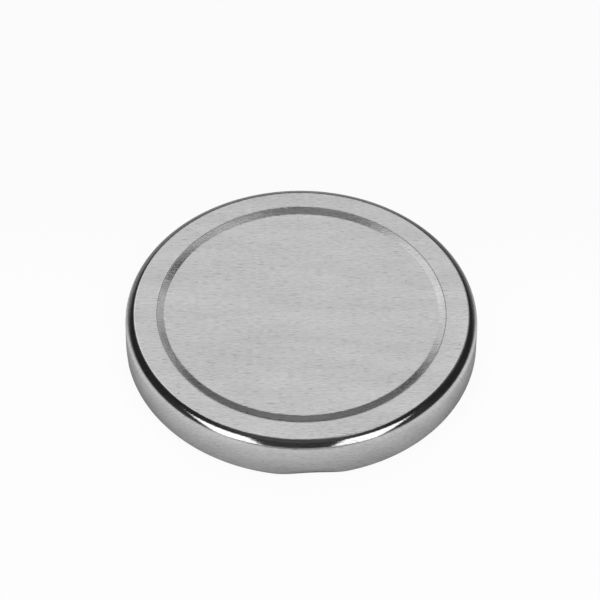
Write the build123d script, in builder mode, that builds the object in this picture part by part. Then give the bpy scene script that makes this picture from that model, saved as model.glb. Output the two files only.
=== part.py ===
from build123d import *
from math import cos, radians, sin, tan
import os

# Twist-off jar lid: a pressed tinplate cap with a recessed centre panel, a rounded shoulder,
# a flared skirt, an inward curl round the bottom edge, four lugs pressed out of that curl,
# and a flowed-in sealing ring in the channel under the rim. Millimetres, +Z up, with the
# origin at the middle of the plane that the curl stands on.

# Overall size
LID_DIAMETER = 73.6  # over the curl, the widest place
LID_HEIGHT = 9.3  # from the foot of the curl to the top of the rim
SHEET = 0.2  # tinplate thickness

# Centre panel and the step round it
RIM_WIDTH = 5.9  # from the top of the skirt in to where the step begins
PANEL_DEPTH = 0.65  # how far the centre panel lies under the rim
STEP_SLOPE = 15.0  # degrees from the horizontal
STEP_OUTER_BEND = 3.9  # outside radius where the rim turns down into the step
STEP_INNER_BEND = 2.7  # outside radius where the step turns into the panel

# Shoulder and skirt
SHOULDER_RADIUS = 2.15
SKIRT_FLARE = 2.8  # degrees that the skirt opens towards the bottom
EDGE_HEIGHT = 3.4  # where the plain skirt ends and the rolled edge begins

# Rolled edge between the lugs
CURL_RADIUS = 1.05  # outside radius of the roll
CURL_FOOT = 0.1  # short flat under the roll
CURL_TAIL = 0.45  # straight end of the sheet, tucked in towards the skirt
BEND_RADIUS = 2.5  # outside radius where the skirt turns into the roll
BEND_LAND = 0.05  # straight between that bend and the roll

# Lugs
LUG_COUNT = 4
LUG_ANGLE = 22.0  # degrees of the edge that each lug takes up
LUG_REACH = 1.2  # how far the nose stands inside the bore of the curl
LUG_LEAN = 27.0  # degrees that the pressed corner leans inwards
LUG_LAND = 0.75  # width of that pressed corner
LUG_CORNER = 0.6  # outside radius under the pressed corner
LUG_NOSE = 0.5  # outside radius of the nose, half the height of the lug
LUG_LIFT = 0.3  # how far the lug's underside is above the foot of the curl
LUG_TAIL = 1.2  # flat on top of the lug, behind its nose
LUG_STATIONS = (-1.0, -0.7, 0.0, 0.7, 1.0)  # sections of the lug, as shares of half its angle

# Sealing ring
SEAL_THICKNESS = 0.95  # under the rim, at the sealing face
SEAL_FACE_WIDTH = 2.4  # of the flat that the glass presses on
SEAL_FACE_INSET = 3.3  # from the top of the skirt in to that flat
SEAL_INNER_MARGIN = 1.0  # width over which the compound thins out on the step
SEAL_WALL_REACH = 1.7  # how far it runs down the skirt from the underside of the rim
SEAL_BEND = 0.4  # radius along both edges of the flat

PANEL_HEIGHT = LID_HEIGHT - PANEL_DEPTH
LUG_PITCH = 360 / LUG_COUNT
HALF_LUG = radians(LUG_ANGLE / 2)
FLARE = radians(SKIRT_FLARE)
SKIRT_WIDEST = LID_DIAMETER / 2 - BEND_RADIUS * (1 - cos(FLARE))
BEND_TOP = CURL_RADIUS + BEND_LAND + BEND_RADIUS * sin(FLARE)
CURL_BORE_RADIUS = LID_DIAMETER / 2 - 2 * CURL_RADIUS - CURL_FOOT
JOINING_TOLERANCE = 0.0001  # lets the free-form lugs meet the skirt without a slit


def skirt_radius(height):
    """Outside radius of the flared skirt at a height."""
    return SKIRT_WIDEST - (height - BEND_TOP) * tan(FLARE)


def skirt_end(inset):
    """Where the plain skirt ends: an inset of 0 is the outside of the sheet, SHEET its inside."""
    return (skirt_radius(EDGE_HEIGHT) - inset / cos(FLARE), EDGE_HEIGHT)


def cap_outline(inset):
    """Line along the sheet, from the axis out over the step, the rim and the shoulder."""
    slope = radians(STEP_SLOPE)
    step_top = skirt_radius(LID_HEIGHT) - RIM_WIDTH + inset * tan(slope / 2)
    step_bottom = step_top - PANEL_DEPTH / tan(slope)
    shoulder = skirt_radius(LID_HEIGHT) - inset * tan(radians(45) - FLARE / 2)
    with BuildLine() as outline:
        FilletPolyline(
            (0, PANEL_HEIGHT - inset),
            (step_bottom, PANEL_HEIGHT - inset),
            (step_top, LID_HEIGHT - inset),
            (shoulder, LID_HEIGHT - inset),
            skirt_end(inset),
            radius=(STEP_INNER_BEND + inset, STEP_OUTER_BEND - inset, SHOULDER_RADIUS - inset),
        )
    return outline.line


def pressed(plain, full, share):
    """A size of the rolled edge, a share of the way from the plain curl to the full lug."""
    return plain + (full - plain) * share


def edge_outline(inset, corner_share, nose_share):
    """Line along the sheet, from the skirt round the rolled edge to the tucked end."""
    lean_angle = pressed(0, LUG_LEAN, corner_share)
    lean = radians(lean_angle)
    land = pressed(BEND_LAND, LUG_LAND, corner_share)
    corner = pressed(CURL_RADIUS, LUG_CORNER, corner_share)
    lift = pressed(0, LUG_LIFT, corner_share)
    nose = pressed(CURL_RADIUS, LUG_NOSE, nose_share)
    tail = pressed(CURL_TAIL, LUG_TAIL, nose_share)
    tip = pressed(CURL_BORE_RADIUS, CURL_BORE_RADIUS - LUG_REACH, nose_share)

    corner_height = corner * (1 - sin(lean)) + land * cos(lean)
    bend_height = lift + corner_height + BEND_RADIUS * (sin(lean) + sin(FLARE))
    corner_width = corner * cos(lean) + land * sin(lean)
    bend_width = BEND_RADIUS * (cos(FLARE) - cos(lean))
    foot = skirt_radius(bend_height) - bend_width - corner_width - nose - tip

    bend_start = (skirt_radius(bend_height) - inset * cos(FLARE), bend_height - inset * sin(FLARE))
    with BuildLine() as outline:
        wall = Line(skirt_end(inset), bend_start)
        bend = JernArc(wall @ 1, wall % 1, BEND_RADIUS - inset, -SKIRT_FLARE - lean_angle)
        flat = PolarLine(bend @ 1, land, direction=bend % 1)
        under = JernArc(flat @ 1, flat % 1, corner - inset, lean_angle - 90)
        sole = PolarLine(under @ 1, foot, direction=under % 1)
        front = JernArc(sole @ 1, sole % 1, nose - inset, -180)
        PolarLine(front @ 1, tail, direction=front % 1)
    return outline.line


def edge_strip(corner_share, nose_share):
    """Closed section of the rolled edge's sheet."""
    outside = edge_outline(0, corner_share, nose_share)
    inside = edge_outline(SHEET, corner_share, nose_share)
    with BuildLine() as strip:
        add(outside)
        add(inside)
        Line(outside @ 0, inside @ 0)
        Line(outside @ 1, inside @ 1)
    return strip.line


def upright_plane(azimuth):
    """Plane through the axis: its X is outwards and its Y is up."""
    turn = radians(azimuth)
    return Plane((0, 0, 0), x_dir=(cos(turn), sin(turn), 0), z_dir=(sin(turn), -cos(turn), 0))


# Recessed panel, step, rim, shoulder and skirt, down to the rolled edge
with BuildPart() as cap:
    outside = cap_outline(0)
    inside = cap_outline(SHEET)
    with BuildSketch(upright_plane(0)):
        with BuildLine():
            add(outside)
            add(inside)
            Line(outside @ 0, inside @ 0)
            Line(outside @ 1, inside @ 1)
        make_face()
    revolve(axis=Axis.Z)

# One lug: the roll is flattened along a chord and its sheet pushed inwards
with BuildPart() as lug:
    for station in LUG_STATIONS:
        to_chord = 1 - cos(HALF_LUG) / cos(station * HALF_LUG)
        strip = edge_strip(to_chord / (1 - cos(HALF_LUG)), 1 - station**4)
        with BuildSketch(upright_plane(station * LUG_ANGLE / 2)):
            make_face(strip.edges())
    loft()

# Plain curl, from one lug to the next
with BuildPart() as curl:
    strip = edge_strip(0, 0)
    with BuildSketch(upright_plane(LUG_ANGLE / 2)):
        make_face(strip.edges())
    revolve(axis=Axis.Z, revolution_arc=LUG_PITCH - LUG_ANGLE)

with BuildPart() as rolled_edge:
    with PolarLocations(0, LUG_COUNT):
        add(lug.part)
        add(curl.part)

whole_sheet = cap.part.fuse(rolled_edge.part, tol=JOINING_TOLERANCE)

with BuildPart() as lid_shell:
    add(whole_sheet)

# Compound flowed into the channel, bonded to the rim, the shoulder and the top of the skirt
with BuildPart() as sealing_ring:
    under_rim = LID_HEIGHT - SHEET
    face_outer = skirt_radius(LID_HEIGHT) - SEAL_FACE_INSET
    face_inner = face_outer - SEAL_FACE_WIDTH
    beyond_skirt = LID_DIAMETER / 2
    inside = cap_outline(SHEET)
    with BuildSketch(upright_plane(0)):
        with BuildLine():
            FilletPolyline(
                (face_inner - SEAL_INNER_MARGIN, under_rim),
                (face_inner, under_rim - SEAL_THICKNESS),
                (face_outer, under_rim - SEAL_THICKNESS),
                (skirt_radius(LID_HEIGHT), under_rim - SEAL_WALL_REACH),
                (beyond_skirt, LID_HEIGHT),
                (face_inner - SEAL_INNER_MARGIN, LID_HEIGHT),
                close=True,
                radius=(0, SEAL_BEND, SEAL_BEND, 0, 0, 0),
            )
        make_face()
        with BuildLine():
            add(inside)
            Polyline(inside @ 1, (0, EDGE_HEIGHT), inside @ 0)
        make_face(mode=Mode.INTERSECT)
    revolve(axis=Axis.Z)

os.makedirs("parts", exist_ok=True)
lid_shell.part.label = "lid_shell"
export_step(lid_shell.part, "parts/lid_shell.step")
sealing_ring.part.label = "sealing_ring"
export_step(sealing_ring.part, "parts/sealing_ring.step")
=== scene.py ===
from math import cos, degrees, pi, radians, sin, tan

import bpy
import numpy as np
from mathutils import Matrix, Vector


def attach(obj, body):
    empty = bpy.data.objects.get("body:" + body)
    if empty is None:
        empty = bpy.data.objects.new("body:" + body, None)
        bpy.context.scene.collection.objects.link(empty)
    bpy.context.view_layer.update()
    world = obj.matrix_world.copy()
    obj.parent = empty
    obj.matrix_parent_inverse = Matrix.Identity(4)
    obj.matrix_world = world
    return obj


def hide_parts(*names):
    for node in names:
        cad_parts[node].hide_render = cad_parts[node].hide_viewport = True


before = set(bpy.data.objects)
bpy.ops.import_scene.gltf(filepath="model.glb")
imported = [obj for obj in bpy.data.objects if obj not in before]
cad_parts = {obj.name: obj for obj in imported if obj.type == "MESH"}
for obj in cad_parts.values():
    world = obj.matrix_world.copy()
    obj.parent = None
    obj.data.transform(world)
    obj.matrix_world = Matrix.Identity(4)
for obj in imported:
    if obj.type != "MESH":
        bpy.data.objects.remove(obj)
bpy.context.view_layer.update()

MM = 0.001

# The lid, in millimetres: the sizes of the CAD model
LID_DIAMETER = 73.6
LID_HEIGHT = 9.3
SHEET = 0.2
PANEL_DEPTH = 0.65
RIM_WIDTH = 5.9
STEP_SLOPE = 15.0
STEP_OUTER_BEND = 3.9
STEP_INNER_BEND = 2.7
DIE_LINE_WIDTH = 0.08  # fine line that the die leaves at the top of the step
DIE_LINE_DEPTH = 0.012
DIE_LINE_MARGIN = 0.01
SHOULDER_RADIUS = 2.15
SKIRT_FLARE = 2.8
EDGE_HEIGHT = 3.4
CURL_RADIUS = 1.05
CURL_FOOT = 0.1
CURL_TAIL = 0.45
BEND_RADIUS = 2.5
BEND_LAND = 0.05
LUG_COUNT = 4
LUG_ANGLE = 22.0
LUG_REACH = 1.2
LUG_LEAN = 27.0
LUG_LAND = 0.75
LUG_CORNER = 0.6
LUG_NOSE = 0.5
LUG_LIFT = 0.3
LUG_TAIL = 1.2
SEAL_THICKNESS = 0.95
SEAL_FACE_WIDTH = 2.4
SEAL_FACE_INSET = 3.3
SEAL_INNER_MARGIN = 1.0
SEAL_WALL_REACH = 1.7
SEAL_BEND = 0.4

SEAL_DRAWN_MARGIN = 0.78  # share of the inner margin that the compound's edge reaches
SEAL_EDGE_GAP = 0.03  # under the sheet, at that edge
SEAL_TOP_GAPS = (0.01, 0.02)  # under the rim, at the shoulder and over the step
SEAL_STEP_OFFSET = 0.4  # from the top of the step out to where the compound leaves the rim

# How finely the sheet is drawn
DEGREES_A_ROW = 6.0  # round a bend
FLAT_ROWS = 3  # along each straight, between its two support rows
SUPPORT = 0.12  # from the end of a straight to its support row
LUG_COLUMNS = 36
CURL_COLUMNS = 44
PANEL_ROWS = 10
PANEL_MARGIN = 2.0  # of the panel, drawn more finely beside the step

# Camera, from the photograph: 350 mm from the middle of the rim's plane
CAMERA_DISTANCE = 350.0
CAMERA_ELEVATION = 47.3
CAMERA_TURN = -93.9  # azimuth that the camera stands at
CAMERA_ROLL = 0.682
FOCAL_PIXELS = 1689.9
FRAME_PIXELS = 600
RIM_CENTRE_PIXEL = (301.54, 307.67)
SENSOR = 36.0
GRAIN_TURN = -3.9  # azimuth that the rolling grain of the sheet runs along

# The rolled tin. The grain's scales are per metre, along it and across it
DASHES = (720, 5600)
LINES = (130, 4600)
SCRATCHES = (420, 4300)
CLOUD = (35, 170)
TIN_TONES = (0.53, 0.87)
TIN_ROUGHNESS = (0.08, 0.12)
GRAIN_DEPTH = 0.008
# Painted shade in the crease of the die line: share of the tin's colour left there
DIE_LINE_SHADE_TONE = 0.25
SPECK_PITCH = 11.0
SPECK_SHARE = 0.3  # of the places that have one
SPECK_RADIUS = 0.13
SPECK_TONE = 0.35

# Pale floor
FLOOR_TONES = (0.28, 0.85)  # painted shade where the lid stands near, and the open floor
FLOOR_SHADE_REACH = 12.0
FLOOR_SHADE = (0.25, 0.95)  # how open the shaded and the open floor are
FLOOR_PAINTED_SHADOW_SPAN = (-0.01, 0.045)  # metres behind the lid's axis, over which a shadow painted into the floor's colour darkens it
# share of the floor's colour left in the shadow painted behind the lid
FLOOR_PAINTED_SHADOW_TONE = 0.1
FLOOR_WHITE = 0.95  # share of plain white that the camera sees

# The studio, as the metal mirrors it. Heights and sides are sines and cosines of a direction,
# and each reach is in degrees, from where a tone starts to where it is full
BACK_LIGHT_RISE = 50
WALL = 0.35
WALL_HEIGHT = (0.05, 0.72)
WALL_SIDES = (0.2, 1.0)
DARK = (0.045, 0.022)  # above the walls, on the camera's side and behind the lid
DARK_SIDES = (-0.6, 0.2)
HALO = 0.06  # round the back light
HALO_REACH = (30, 14)
HORIZON = 0.38
HORIZON_HEIGHT = 0.24
CAMERA_SIDE = (-0.95, -0.4)
CAMERA_SIDE_LIFT = 0.2  # how much higher the bright horizon stands on that side
OVERHEAD = 0.05  # added straight above
OVERHEAD_REACH = (24, 5)
DIMMED = ((50, 0.4), (-50, 0.65))  # darker stretches of the wall: direction, and share left
DIMMED_REACH = (52, 24)
EVEN = (0.05, 0.2)  # for matt surfaces, low down and overhead

PANEL_HEIGHT = LID_HEIGHT - PANEL_DEPTH
HALF_LUG = radians(LUG_ANGLE / 2)
FLARE = radians(SKIRT_FLARE)
SKIRT_WIDEST = LID_DIAMETER / 2 - BEND_RADIUS * (1 - cos(FLARE))
BEND_TOP = CURL_RADIUS + BEND_LAND + BEND_RADIUS * sin(FLARE)
CURL_BORE = LID_DIAMETER / 2 - 2 * CURL_RADIUS - CURL_FOOT


def skirt_radius(height):
    """Outside radius of the flared skirt at a height."""
    return SKIRT_WIDEST - (height - BEND_TOP) * tan(FLARE)


def straight(start, end, rows=FLAT_ROWS):
    """Points after start, to end, with a support row close to each end."""
    start, end = np.array(start, float), np.array(end, float)
    length = float(np.linalg.norm(end - start))
    painted_shadow_behind = min(SUPPORT, length / 4)
    steps = [painted_shadow_behind] + [painted_shadow_behind + (length - 2 * painted_shadow_behind) * i / rows for i in range(1, rows)]
    steps += [length - painted_shadow_behind, length]
    return [start + (end - start) * s / length for s in steps]


def run(start, end):
    """As straight, but a very short run is only its end."""
    short = np.linalg.norm(np.subtract(end, start)) < 2 * SUPPORT
    return [np.array(end, float)] if short else straight(start, end)


def turned(heading, angle):
    """A heading turned to the left by an angle."""
    c, s = cos(angle), sin(angle)
    return np.array((c * heading[0] - s * heading[1], s * heading[0] + c * heading[1]))


def bend(start, heading, radius, angle, rows=None):
    """Points after start along an arc, and the heading at its end. A negative angle turns right."""
    if rows is None:
        rows = max(2, round(abs(degrees(angle)) / DEGREES_A_ROW))
    side = 1 if angle > 0 else -1
    to_centre = turned(heading, side * radians(90)) * radius
    centre = np.array(start, float) + to_centre
    points = [centre - turned(to_centre, angle * i / rows) for i in range(1, rows + 1)]
    return points, turned(heading, angle)


def unit(v):
    """A vector of length 1 in the direction of v."""
    v = np.array(v, float)
    return v / np.linalg.norm(v)


def rounded_path(corners, radii):
    """The points of a polyline whose inner corners are rounded to the given radii."""
    path = [np.array(corners[0], float)]
    for before, corner, after, radius in zip(corners, corners[1:], corners[2:], radii):
        a = unit(np.subtract(corner, before))
        b = unit(np.subtract(after, corner))
        angle = float(np.arctan2(a[0] * b[1] - a[1] * b[0], np.dot(a, b)))
        cut = radius * tan(abs(angle) / 2)
        path += run(path[-1], np.array(corner) - a * cut)
        if radius > 0:
            path += bend(path[-1], a, radius, angle)[0]
    return path + run(path[-1], corners[-1])


def cap_path(inset):
    """Line along the sheet, outwards from the axis to the top of the rolled edge.

    An inset of 0 is the outside of the sheet, SHEET its inside. Both have as many points.
    """
    slope = radians(STEP_SLOPE)
    step_top = skirt_radius(LID_HEIGHT) - RIM_WIDTH + inset * tan(slope / 2)
    step_bottom = step_top - PANEL_DEPTH / tan(slope)
    shoulder = skirt_radius(LID_HEIGHT) - inset * tan(radians(45) - FLARE / 2)
    flat_end = step_bottom - PANEL_MARGIN
    flat = [(flat_end * i / PANEL_ROWS, PANEL_HEIGHT - inset) for i in range(1, PANEL_ROWS)]
    up = np.array((cos(slope), sin(slope)))
    down = np.array((sin(slope), -cos(slope)))
    line_end = np.array((step_top, LID_HEIGHT - inset))
    line_end = line_end - up * (STEP_OUTER_BEND - inset) * tan(slope / 2)
    line_end -= up * DIE_LINE_MARGIN
    line_depth = DIE_LINE_DEPTH if inset == 0 else 0
    corners = (
        (flat_end, PANEL_HEIGHT - inset),
        (step_bottom, PANEL_HEIGHT - inset),
        line_end - up * DIE_LINE_WIDTH,
        line_end - up * DIE_LINE_WIDTH / 2 + down * line_depth,
        line_end,
        (step_top, LID_HEIGHT - inset),
        (shoulder, LID_HEIGHT - inset),
        (skirt_radius(EDGE_HEIGHT) - inset / cos(FLARE), EDGE_HEIGHT),
    )
    radii = (STEP_INNER_BEND + inset, 0, 0, 0, STEP_OUTER_BEND - inset, SHOULDER_RADIUS - inset)
    return [np.array(p) for p in flat] + rounded_path(corners, radii)


def pressed(plain, full, share):
    """A size of the rolled edge, a share of the way from the plain curl to the full lug."""
    return plain + (full - plain) * share


def edge_path(inset, corner_share, nose_share):
    """Line along the sheet round the rolled edge, always with the same number of points."""
    lean_angle = pressed(0, LUG_LEAN, corner_share)
    lean = radians(lean_angle)
    land = pressed(BEND_LAND, LUG_LAND, corner_share)
    corner = pressed(CURL_RADIUS, LUG_CORNER, corner_share)
    lift = pressed(0, LUG_LIFT, corner_share)
    nose = pressed(CURL_RADIUS, LUG_NOSE, nose_share)
    tail = pressed(CURL_TAIL, LUG_TAIL, nose_share)
    tip = pressed(CURL_BORE, CURL_BORE - LUG_REACH, nose_share)
    corner_height = corner * (1 - sin(lean)) + land * cos(lean)
    bend_height = lift + corner_height + BEND_RADIUS * (sin(lean) + sin(FLARE))
    corner_width = corner * cos(lean) + land * sin(lean)
    bend_width = BEND_RADIUS * (cos(FLARE) - cos(lean))
    foot = skirt_radius(bend_height) - bend_width - corner_width - nose - tip

    start = (skirt_radius(EDGE_HEIGHT) - inset / cos(FLARE), EDGE_HEIGHT)
    turn = (skirt_radius(bend_height) - inset * cos(FLARE), bend_height - inset * sin(FLARE))
    path = straight(start, turn, 2)
    heading = unit(np.subtract(turn, start))
    for radius, angle, rows, length in (
        (BEND_RADIUS - inset, -FLARE - lean, 6, land),
        (corner - inset, lean - radians(90), 12, foot),
        (nose - inset, -radians(180), 20, tail),
    ):
        points, heading = bend(path[-1], heading, radius, angle, rows)
        path += points
        path += straight(path[-1], path[-1] + heading * length, 2)
    return path


def along(path):
    """Length of the line from its first point to each point."""
    steps = np.linalg.norm(np.diff(np.array(path), axis=0), axis=1)
    return np.concatenate(([0.0], np.cumsum(steps)))


def azimuths():
    """Columns round the lid, each with its place across a lug: -1 to 1, and 1 between lugs."""
    columns = []
    pitch = radians(360 / LUG_COUNT)
    for lug in range(LUG_COUNT):
        for i in range(LUG_COLUMNS):
            place = -1 + 2 * i / LUG_COLUMNS
            columns.append((lug * pitch + place * HALF_LUG, place))
        for i in range(CURL_COLUMNS):
            turn = lug * pitch + HALF_LUG + (pitch - 2 * HALF_LUG) * i / CURL_COLUMNS
            columns.append((turn, 1.0))
    return columns


def add_mesh(name, vertices, faces, grain, sharp_rows, columns):
    """Makes an object whose points are a first one and then rows, each once round the lid.

    Grain holds each point's place on the flattened sheet. It becomes the UV map "sheet".
    """
    mesh = bpy.data.meshes.new(name)
    mesh.from_pydata([tuple(v * MM) for v in vertices], [], faces)
    mesh.shade_smooth()
    layer = mesh.uv_layers.new(name="sheet")
    corner_vertices = np.empty(len(mesh.loops), dtype=np.int32)
    mesh.loops.foreach_get("vertex_index", corner_vertices)
    layer.data.foreach_set("uv", (np.array(grain)[corner_vertices] * MM).ravel())
    sharp = mesh.attributes.new("sharp_edge", "BOOLEAN", "EDGE")
    flags = np.zeros(len(mesh.edges), dtype=bool)
    ends = np.empty(len(mesh.edges) * 2, dtype=np.int32)
    mesh.edges.foreach_get("vertices", ends)
    rows = (ends.reshape(-1, 2) - 1) // columns
    for row in sharp_rows:
        flags |= (rows[:, 0] == row) & (rows[:, 1] == row)
    sharp.data.foreach_set("value", flags)
    mesh.validate()
    piece = bpy.data.objects.new(name, mesh)
    bpy.context.scene.collection.objects.link(piece)
    return piece


def grain_point(distance, azimuth):
    """A place on the flattened sheet, with the rolling grain along its first axis."""
    turn = azimuth - radians(GRAIN_TURN)
    return (distance * cos(turn), distance * sin(turn))


def lid_shell():
    """The sheet: its outside from the middle to the tucked end, then its inside back again."""
    columns = azimuths()
    sections = []
    for azimuth, place in columns:
        to_chord = (1 - cos(HALF_LUG) / cos(place * HALF_LUG)) / (1 - cos(HALF_LUG))
        nose = 1 - place**4
        outside = cap_path(0) + edge_path(0, to_chord, nose)
        inside = cap_path(SHEET) + edge_path(SHEET, to_chord, nose)
        lengths = along([np.array((0.0, PANEL_HEIGHT))] + outside)[1:]
        sections.append((azimuth, outside + inside[::-1], list(lengths) + list(lengths[::-1])))
    rows = len(sections[0][1])
    count = len(columns)
    vertices = [np.array((0.0, 0.0, PANEL_HEIGHT))]
    grain = [(0.0, 0.0)]
    for row in range(rows):
        for azimuth, path, lengths in sections:
            r, z = path[row]
            vertices.append(np.array((r * cos(azimuth), r * sin(azimuth), z)))
            grain.append(grain_point(lengths[row], azimuth))
    vertices.append(np.array((0.0, 0.0, PANEL_HEIGHT - SHEET)))
    grain.append((0.0, 0.0))
    last = len(vertices) - 1
    faces = []
    for i in range(count):
        j = (i + 1) % count
        faces.append((0, 1 + i, 1 + j))
        end = 1 + (rows - 1) * count
        faces.append((last, end + j, end + i))
        for row in range(rows - 1):
            a, b = 1 + row * count, 1 + (row + 1) * count
            faces.append((a + i, b + i, b + j, a + j))
    return add_mesh("lid_sheet", vertices, faces, grain, (rows // 2 - 1, rows // 2), count)


def sealing_ring():
    """The flowed-in compound, drawn as a closed ring against the inside of the sheet."""
    under_rim = LID_HEIGHT - SHEET
    face_outer = skirt_radius(LID_HEIGHT) - SEAL_FACE_INSET
    face_inner = face_outer - SEAL_FACE_WIDTH
    seal_bottom = under_rim - SEAL_THICKNESS
    wall_foot = under_rim - SEAL_WALL_REACH
    wall_radius = skirt_radius(wall_foot) - SHEET / cos(FLARE)
    inner_corner = skirt_radius(LID_HEIGHT) - RIM_WIDTH + SHEET * tan(radians(STEP_SLOPE / 2))
    inner_start = face_inner - SEAL_INNER_MARGIN * SEAL_DRAWN_MARGIN
    start_fall = (inner_corner - inner_start) * tan(radians(STEP_SLOPE))
    start_height = under_rim - start_fall - SEAL_EDGE_GAP
    bend_height = LID_HEIGHT - SHOULDER_RADIUS
    path = rounded_path(
        (
            (inner_start, start_height),
            (face_inner, seal_bottom),
            (face_outer, seal_bottom),
            (wall_radius, wall_foot),
            (skirt_radius(bend_height) - SHEET, bend_height),
            (skirt_radius(LID_HEIGHT) - SHOULDER_RADIUS, under_rim - SEAL_TOP_GAPS[0]),
            (inner_corner + SEAL_STEP_OFFSET, under_rim - SEAL_TOP_GAPS[1]),
            (inner_start, start_height),
        ),
        (SEAL_BEND, SEAL_BEND, 0, 0, 0, 0),
    )[:-1]
    columns = azimuths()
    count, rows = len(columns), len(path)
    # The first point is there because add_mesh counts rows after it. No face uses it
    vertices = [np.array((0.0, 0.0, under_rim))]
    grain = [(0.0, 0.0)]
    lengths = along(path)
    for row in range(rows):
        for azimuth, _ in columns:
            r, z = path[row]
            vertices.append(np.array((r * cos(azimuth), r * sin(azimuth), z)))
            grain.append(grain_point(path[0][0] + lengths[row], azimuth))
    faces = []
    for i in range(count):
        j = (i + 1) % count
        for row in range(rows):
            a, b = 1 + row * count, 1 + ((row + 1) % rows) * count
            faces.append((a + i, a + j, b + j, b + i))
    return add_mesh("seal_compound", vertices, faces, grain, (0,), count)


def new_material(name):
    """A material with its node tree and shader."""
    material = bpy.data.materials.new(name)
    material.use_nodes = True
    tree = material.node_tree
    return material, tree, tree.nodes["Principled BSDF"]


def add_node(tree, kind, **settings):
    """A new node with the given settings."""
    node = tree.nodes.new(kind)
    for key, value in settings.items():
        setattr(node, key, value)
    return node


def stretched_noise(tree, scale, detail):
    """Noise over the flat sheet, drawn out along the rolling grain. Scale is per metre."""
    where = add_node(tree, "ShaderNodeUVMap", uv_map="sheet")
    mapping = add_node(tree, "ShaderNodeMapping")
    mapping.inputs["Scale"].default_value = (scale[0], scale[1], 1)
    noise = add_node(tree, "ShaderNodeTexNoise")
    noise.inputs["Scale"].default_value = 1
    noise.inputs["Detail"].default_value = detail
    tree.links.new(where.outputs["UV"], mapping.inputs["Vector"])
    tree.links.new(mapping.outputs["Vector"], noise.inputs["Vector"])
    return noise.outputs["Fac"]


def ranged(tree, value, low, high, top=0.7):
    """Spreads the middle of a noise over a range."""
    spread = add_node(tree, "ShaderNodeMapRange")
    spread.inputs["From Min"].default_value = 0.3
    spread.inputs["From Max"].default_value = top
    spread.inputs["To Min"].default_value = low
    spread.inputs["To Max"].default_value = high
    tree.links.new(value, spread.inputs["Value"])
    return spread.outputs["Result"]


def step_node(tree, value, start, end, low, high):
    """Goes smoothly from low to high as the value goes from start to end."""
    node = add_node(tree, "ShaderNodeMapRange", interpolation_type="SMOOTHSTEP")
    node.inputs["From Min"].default_value = start
    node.inputs["From Max"].default_value = end
    node.inputs["To Min"].default_value = low
    node.inputs["To Max"].default_value = high
    tree.links.new(value, node.inputs["Value"])
    return node.outputs["Result"]


def joined(tree, operation, first, second):
    """A sum, a product or the like of two values."""
    node = add_node(tree, "ShaderNodeMath", operation=operation)
    tree.links.new(first, node.inputs[0])
    tree.links.new(second, node.inputs[1])
    return node.outputs["Value"]


def facing(tree, vector, direction):
    """How far a vector goes in a direction."""
    node = add_node(tree, "ShaderNodeVectorMath", operation="DOT_PRODUCT")
    node.inputs[1].default_value = direction
    tree.links.new(vector, node.inputs[0])
    return node.outputs["Value"]


def die_line_painted_shade(tree):
    """Low on the fine line where the die turned the sheet down into the step, where shade is
    painted into the colour, and 1 elsewhere.
    """
    outside = cap_path(0)
    step_top = skirt_radius(LID_HEIGHT) - RIM_WIDTH
    line = step_top - STEP_OUTER_BEND * tan(radians(STEP_SLOPE / 2))
    line = line - DIE_LINE_MARGIN - DIE_LINE_WIDTH / 2
    lengths = along([np.array((0.0, PANEL_HEIGHT))] + outside)[1:]
    run_to_line = min(zip(outside, lengths), key=lambda row: abs(row[0][0] - line))[1]
    where = add_node(tree, "ShaderNodeUVMap", uv_map="sheet")
    length = add_node(tree, "ShaderNodeVectorMath", operation="LENGTH")
    tree.links.new(where.outputs["UV"], length.inputs[0])
    beyond = add_node(tree, "ShaderNodeMath", operation="SUBTRACT")
    beyond.inputs[1].default_value = run_to_line * MM
    tree.links.new(length.outputs["Value"], beyond.inputs[0])
    away = add_node(tree, "ShaderNodeMath", operation="ABSOLUTE")
    tree.links.new(beyond.outputs["Value"], away.inputs[0])
    width = DIE_LINE_WIDTH * MM
    return step_node(tree, away.outputs["Value"], 0.25 * width, width, DIE_LINE_SHADE_TONE, 1)


def specks(tree):
    """Low on a few small dark specks, and 1 elsewhere."""
    where = add_node(tree, "ShaderNodeUVMap", uv_map="sheet")
    cells = add_node(tree, "ShaderNodeTexVoronoi", voronoi_dimensions="2D")
    cells.inputs["Scale"].default_value = 1 / (SPECK_PITCH * MM)
    tree.links.new(where.outputs["UV"], cells.inputs["Vector"])
    drawn = add_node(tree, "ShaderNodeSeparateColor")
    tree.links.new(cells.outputs["Color"], drawn.inputs["Color"])
    plain = 1 - SPECK_SHARE
    chosen = step_node(tree, drawn.outputs["Red"], plain, plain + 0.01, 0, 1)
    edge = SPECK_RADIUS / SPECK_PITCH
    inside = step_node(tree, cells.outputs["Distance"], 0.6 * edge, 1.4 * edge, 1, 0)
    return step_node(tree, joined(tree, "MULTIPLY", chosen, inside), 0, 1, 1, SPECK_TONE)


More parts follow.
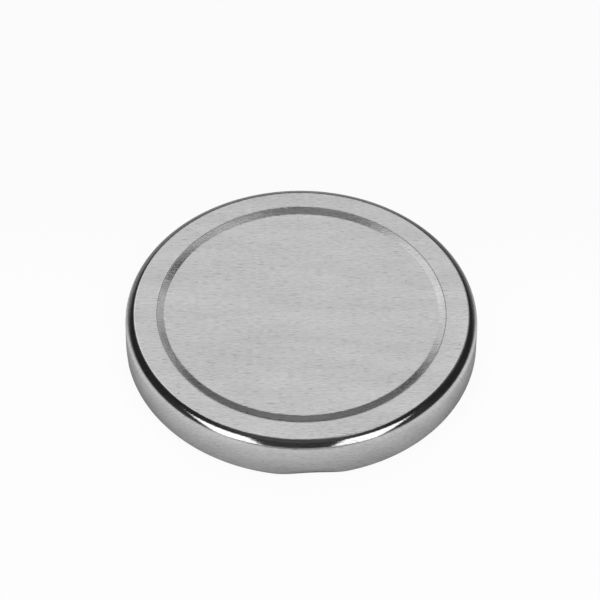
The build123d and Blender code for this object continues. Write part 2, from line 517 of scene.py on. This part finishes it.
def tinplate():
    """Bright tinplate: a fine straight rolling grain in its tone, its gloss and its relief."""
    material, tree, shader = new_material("tinplate")
    shader.inputs["Metallic"].default_value = 1.0
    dashes = stretched_noise(tree, DASHES, 2)
    lines = stretched_noise(tree, LINES, 2)
    cloud = stretched_noise(tree, CLOUD, 2)
    fine_dashes = ranged(tree, dashes, 0.08, 0.52, 0.6)
    fine = joined(tree, "ADD", fine_dashes, ranged(tree, lines, 0.05, 0.35))
    scratches = step_node(tree, stretched_noise(tree, SCRATCHES, 1), 0.28, 0.38, -0.6, 0)

    grey = add_node(tree, "ShaderNodeMix", data_type="RGBA", clamp_factor=False)
    grey.inputs["A"].default_value = (*[TIN_TONES[0]] * 3, 1)
    grey.inputs["B"].default_value = (*[TIN_TONES[1]] * 3, 1)
    grain = joined(tree, "ADD", fine, scratches)
    shade = joined(tree, "ADD", grain, ranged(tree, cloud, -0.14, 0.12))
    tree.links.new(shade, grey.inputs["Factor"])
    # The grey, darkened by a few specks and by shade painted into the die line's crease
    specked_and_shaded = add_node(tree, "ShaderNodeVectorMath", operation="SCALE")
    tree.links.new(grey.outputs["Result"], specked_and_shaded.inputs["Vector"])
    specks_and_painted_shade = joined(tree, "MULTIPLY", die_line_painted_shade(tree), specks(tree))
    tree.links.new(specks_and_painted_shade, specked_and_shaded.inputs["Scale"])
    tree.links.new(specked_and_shaded.outputs["Vector"], shader.inputs["Base Color"])

    rough = add_node(tree, "ShaderNodeMath", operation="ADD")
    tree.links.new(step_node(tree, fine, 0, 1, *TIN_ROUGHNESS), rough.inputs[0])
    tree.links.new(ranged(tree, cloud, -0.01, 0.01), rough.inputs[1])
    tree.links.new(rough.outputs["Value"], shader.inputs["Roughness"])

    across = add_node(tree, "ShaderNodeTangent", direction_type="UV_MAP", uv_map="sheet")
    tree.links.new(across.outputs["Tangent"], shader.inputs["Tangent"])
    shader.inputs["Anisotropic"].default_value = 0.6
    shader.inputs["Anisotropic Rotation"].default_value = 0.25

    relief = add_node(tree, "ShaderNodeBump")
    relief.inputs["Distance"].default_value = GRAIN_DEPTH * MM
    relief.inputs["Strength"].default_value = 1.0
    tree.links.new(fine, relief.inputs["Height"])
    tree.links.new(relief.outputs["Normal"], shader.inputs["Normal"])
    return material


def sealing_compound():
    """Soft off-white compound, slightly mottled."""
    material, tree, shader = new_material("sealing_compound")
    shader.inputs["Specular IOR Level"].default_value = 0.4
    place = add_node(tree, "ShaderNodeTexCoord")
    noise = add_node(tree, "ShaderNodeTexNoise")
    noise.inputs["Scale"].default_value = 260
    noise.inputs["Detail"].default_value = 4
    tree.links.new(place.outputs["Object"], noise.inputs["Vector"])
    tone = add_node(tree, "ShaderNodeMix", data_type="RGBA")
    tone.inputs["A"].default_value = (0.60, 0.585, 0.53, 1)
    tone.inputs["B"].default_value = (0.68, 0.665, 0.61, 1)
    tree.links.new(ranged(tree, noise.outputs["Fac"], 0, 1), tone.inputs["Factor"])
    tree.links.new(tone.outputs["Result"], shader.inputs["Base Color"])
    tree.links.new(ranged(tree, noise.outputs["Fac"], 0.42, 0.6), shader.inputs["Roughness"])
    relief = add_node(tree, "ShaderNodeBump")
    relief.inputs["Distance"].default_value = 0.00004
    relief.inputs["Strength"].default_value = 0.4
    tree.links.new(noise.outputs["Fac"], relief.inputs["Height"])
    tree.links.new(relief.outputs["Normal"], shader.inputs["Normal"])
    return material


sheet = lid_shell()
sheet.data.materials.append(tinplate())
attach(sheet, "root")
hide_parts("lid_shell")

seal = sealing_ring()
seal.data.materials.append(sealing_compound())
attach(seal, "root")
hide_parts("sealing_ring")


def outwards(turn, rise=0):
    """Direction from the lid. Turn is in degrees from straight behind it, to the right."""
    azimuth, rise = radians(CAMERA_TURN + 180 - turn), radians(rise)
    return (cos(azimuth) * cos(rise), sin(azimuth) * cos(rise), sin(rise))


def floor():
    """Pale floor: white where the camera sees it, with shade painted into its colour round the
    lid's foot and behind the lid.
    """
    bpy.ops.mesh.primitive_plane_add(size=6, location=(0, 0, 0))
    ground = bpy.context.object
    ground.name = "floor"
    material, tree, shader = new_material("floor")
    # Painted shade: the floor's colour darkens where ambient occlusion finds the lid near, and
    # behind the lid
    shade = add_node(tree, "ShaderNodeAmbientOcclusion")
    shade.inputs["Distance"].default_value = FLOOR_SHADE_REACH * MM
    tone = add_node(tree, "ShaderNodeMix", data_type="RGBA")
    tone.inputs["A"].default_value = (*[FLOOR_TONES[0]] * 3, 1)
    tone.inputs["B"].default_value = (*[FLOOR_TONES[1]] * 3, 1)
    place = add_node(tree, "ShaderNodeTexCoord")
    behind = facing(tree, place.outputs["Object"], outwards(0))
    painted_shadow_behind = step_node(tree, behind, *FLOOR_PAINTED_SHADOW_SPAN, 1, FLOOR_PAINTED_SHADOW_TONE)
    open_floor = step_node(tree, shade.outputs["AO"], *FLOOR_SHADE, 0, 1)
    tree.links.new(joined(tree, "MULTIPLY", open_floor, painted_shadow_behind), tone.inputs["Factor"])
    tree.links.new(tone.outputs["Result"], shader.inputs["Base Color"])
    shader.inputs["Roughness"].default_value = 0.9
    shader.inputs["Specular IOR Level"].default_value = 0.0
    glow = add_node(tree, "ShaderNodeEmission")
    glow.inputs["Strength"].default_value = 1.0
    path = add_node(tree, "ShaderNodeLightPath")
    share = add_node(tree, "ShaderNodeMath", operation="MULTIPLY")
    share.inputs[1].default_value = FLOOR_WHITE
    tree.links.new(path.outputs["Is Camera Ray"], share.inputs[0])
    mix = add_node(tree, "ShaderNodeMixShader")
    tree.links.new(share.outputs["Value"], mix.inputs["Fac"])
    tree.links.new(shader.outputs["BSDF"], mix.inputs[1])
    tree.links.new(glow.outputs["Emission"], mix.inputs[2])
    tree.links.new(mix.outputs["Shader"], tree.nodes["Material Output"].inputs["Surface"])
    ground.data.materials.append(material)


def soft_light(name, turn, rise, distance, width, height, radiance, roll=0, mirrored=True):
    """A flat soft light that faces the lid. Its width and height there are in degrees."""
    toward = Vector(outwards(turn, rise))
    data = bpy.data.lights.new(name, "AREA")
    data.shape = "RECTANGLE"
    data.size = 2 * distance * tan(radians(width / 2))
    data.size_y = 2 * distance * tan(radians(height / 2))
    data.energy = radiance * data.size * data.size_y * pi
    lamp = bpy.data.objects.new(name, data)
    lamp.visible_glossy = mirrored
    lamp.location = toward * distance
    upright = toward.to_track_quat("Z", "Y").to_matrix()
    lamp.rotation_euler = (upright @ Matrix.Rotation(radians(roll), 3, "Z")).to_euler()
    bpy.context.scene.collection.objects.link(lamp)


def reached(tree, cosine, reach, low, high):
    """Goes from low to high as a direction turns in from the first angle of reach to the second."""
    return step_node(tree, cosine, cos(radians(reach[0])), cos(radians(reach[1])), low, high)


def studio():
    """The room: soft and even for matt surfaces, dark overhead and grey low down in the metal."""
    world = bpy.data.worlds.new("studio")
    bpy.context.scene.world = world
    world.use_nodes = True
    tree = world.node_tree
    where = add_node(tree, "ShaderNodeTexCoord")
    spread = add_node(tree, "ShaderNodeSeparateXYZ")
    tree.links.new(where.outputs["Generated"], spread.inputs["Vector"])
    behind = facing(tree, where.outputs["Generated"], outwards(0))
    panel = facing(tree, where.outputs["Generated"], outwards(0, BACK_LIGHT_RISE))

    low_walls = step_node(tree, spread.outputs["Z"], *WALL_HEIGHT, 1, 0)
    far_side = step_node(tree, behind, *WALL_SIDES, 0, 1)
    walls = step_node(tree, joined(tree, "MULTIPLY", low_walls, far_side), 0, 1, 0, WALL)
    lift = step_node(tree, behind, *CAMERA_SIDE, CAMERA_SIDE_LIFT, 0)
    height = joined(tree, "SUBTRACT", spread.outputs["Z"], lift)
    horizon = step_node(tree, height, 0, HORIZON_HEIGHT, HORIZON, 0)
    low = joined(tree, "MAXIMUM", walls, horizon)
    for turn, left in DIMMED:
        corner = facing(tree, where.outputs["Generated"], outwards(turn))
        low = joined(tree, "MULTIPLY", low, reached(tree, corner, DIMMED_REACH, 1, left))
    dark = step_node(tree, behind, *DARK_SIDES, *DARK)
    halo = reached(tree, panel, HALO_REACH, 0, HALO)
    ceiling = reached(tree, spread.outputs["Z"], OVERHEAD_REACH, 0, OVERHEAD)
    glow = joined(tree, "ADD", ceiling, halo)
    mirrored = joined(tree, "ADD", joined(tree, "MAXIMUM", low, dark), glow)

    room = add_node(tree, "ShaderNodeBackground")
    tree.links.new(mirrored, room.inputs["Color"])
    even = add_node(tree, "ShaderNodeBackground")
    overhead = step_node(tree, spread.outputs["Z"], 0.0, 1.0, *EVEN)
    tree.links.new(overhead, even.inputs["Color"])
    white = add_node(tree, "ShaderNodeBackground")
    path = add_node(tree, "ShaderNodeLightPath")
    matt = add_node(tree, "ShaderNodeMixShader")
    seen = add_node(tree, "ShaderNodeMixShader")
    white.inputs["Color"].default_value = (1, 1, 1, 1)
    tree.links.new(path.outputs["Is Diffuse Ray"], matt.inputs["Fac"])
    tree.links.new(room.outputs["Background"], matt.inputs[1])
    tree.links.new(even.outputs["Background"], matt.inputs[2])
    tree.links.new(path.outputs["Is Camera Ray"], seen.inputs["Fac"])
    tree.links.new(matt.outputs["Shader"], seen.inputs[1])
    tree.links.new(white.outputs["Background"], seen.inputs[2])
    tree.links.new(seen.outputs["Shader"], tree.nodes["World Output"].inputs["Surface"])


floor()
studio()
soft_light("back_light", -4.7, BACK_LIGHT_RISE, 0.5, 31, 30, 0.65)
soft_light("low_patch", 22.5, 43, 0.5, 9, 14, 0.46)
soft_light("left_patch", -26, 44, 0.5, 8, 13, 0.28)
soft_light("upper_left_patch", -31, 59, 0.5, 8, 17, 0.2)
soft_light("right_patch", 31, 70, 0.5, 9, 11, 0.5)
soft_light("top_light", 4, 71, 0.22, 30, 12, 0.17)
soft_light("left_light", -137, 34, 1.2, 27, 46, 1.45, roll=26)
soft_light("right_light", 139, 37, 1.2, 28, 50, 1.45, roll=-26)
soft_light("back_fill", -4, 55, 0.5, 32, 28, 3.0, mirrored=False)
soft_light("left_fill", -134, 32, 1.2, 30, 50, 1.3, mirrored=False)
soft_light("right_fill", 134, 32, 1.2, 30, 50, 1.3, mirrored=False)

# Camera
turn, rise = radians(CAMERA_TURN), radians(CAMERA_ELEVATION)
back = Vector((cos(turn) * cos(rise), sin(turn) * cos(rise), sin(rise)))
level = Vector((-sin(turn), cos(turn), 0))
upward = back.cross(level)
roll = radians(CAMERA_ROLL)
right = level * cos(roll) + upward * sin(roll)
upward = upward * cos(roll) - level * sin(roll)
camera_data = bpy.data.cameras.new("camera")
camera_data.sensor_width = SENSOR
camera_data.lens = SENSOR * FOCAL_PIXELS / FRAME_PIXELS
camera_data.shift_x = (FRAME_PIXELS / 2 - RIM_CENTRE_PIXEL[0]) / FRAME_PIXELS
camera_data.shift_y = (RIM_CENTRE_PIXEL[1] - FRAME_PIXELS / 2) / FRAME_PIXELS
camera = bpy.data.objects.new("camera", camera_data)
place = back * CAMERA_DISTANCE * MM + Vector((0, 0, LID_HEIGHT * MM))
camera.matrix_world = Matrix(
    (
        (right.x, upward.x, back.x, place.x),
        (right.y, upward.y, back.y, place.y),
        (right.z, upward.z, back.z, place.z),
        (0, 0, 0, 1),
    )
)
bpy.context.scene.collection.objects.link(camera)
bpy.context.scene.camera = camera
bpy.context.scene.view_settings.view_transform = "Standard"
